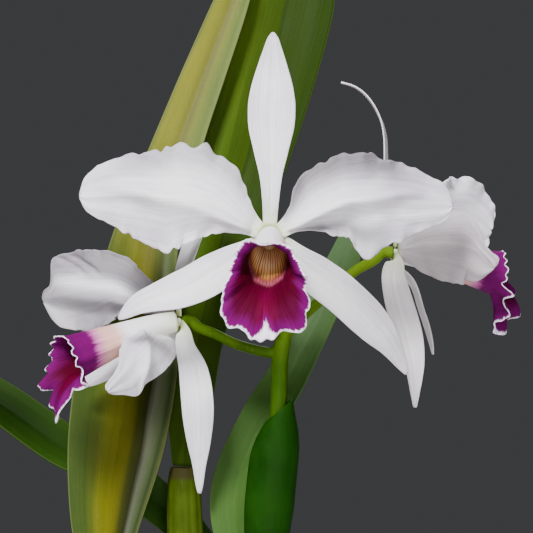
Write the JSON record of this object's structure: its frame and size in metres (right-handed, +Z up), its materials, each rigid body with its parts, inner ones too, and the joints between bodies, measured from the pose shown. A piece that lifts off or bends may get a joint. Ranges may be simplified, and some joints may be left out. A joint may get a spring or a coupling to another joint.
{
  "type": "cattleya orchid",
  "caption": "Potted cattleya orchid: white blooms with flared purple lips on one stalk out of a green sheath, above strap leaves on slender swollen stems in bark.",
  "frame": {"origin": "middle of the pot's underside, where the plant rests", "axes": "+Z up along the pot's axis, -Y towards the viewer whom the front bloom faces, +X to that viewer's right"},
  "size_m": [0.3165, 0.1887, 0.5967],
  "materials": {
    "petal_white": "satin",
    "lip_magenta": "satin",
    "stalk_green": "satin",
    "leaf_green": "satin",
    "bulb_green": "satin",
    "root_grey": "matte",
    "bark_brown": "matte",
    "pot_clay": "matte"
  },
  "bodies": {
    "root": {"bark": "bark_brown", "flower_stalk": "stalk_green", "front_bloom_column": "petal_white", "front_bloom_dorsal_sepal": "petal_white", "front_bloom_left_petal": "petal_white", "front_bloom_left_sepal": "petal_white", "front_bloom_lip": "lip_magenta", "front_bloom_right_petal": "petal_white", "front_bloom_right_sepal": "petal_white", "leaf_left": "leaf_green", "leaf_rear": "leaf_green", "leaf_right": "leaf_green", "leaf_tall": "leaf_green", "left_bloom_column": "petal_white", "left_bloom_dorsal_sepal": "petal_white", "left_bloom_front_petal": "petal_white", "left_bloom_front_sepal": "petal_white", "left_bloom_lip": "lip_magenta", "left_bloom_rear_petal": "petal_white", "left_bloom_rear_sepal": "petal_white", "pot": "pot_clay", "pseudobulb_flowering": "bulb_green", "pseudobulb_left": "bulb_green", "pseudobulb_rear": "bulb_green", "pseudobulb_tall": "bulb_green", "rhizome": "root_grey", "right_bloom_column": "petal_white", "right_bloom_dorsal_sepal": "petal_white", "right_bloom_front_petal": "petal_white", "right_bloom_front_sepal": "petal_white", "right_bloom_lip": "lip_magenta", "right_bloom_rear_petal": "petal_white", "right_bloom_rear_sepal": "petal_white", "spathe": "stalk_green"}
  },
  "joints": []
}
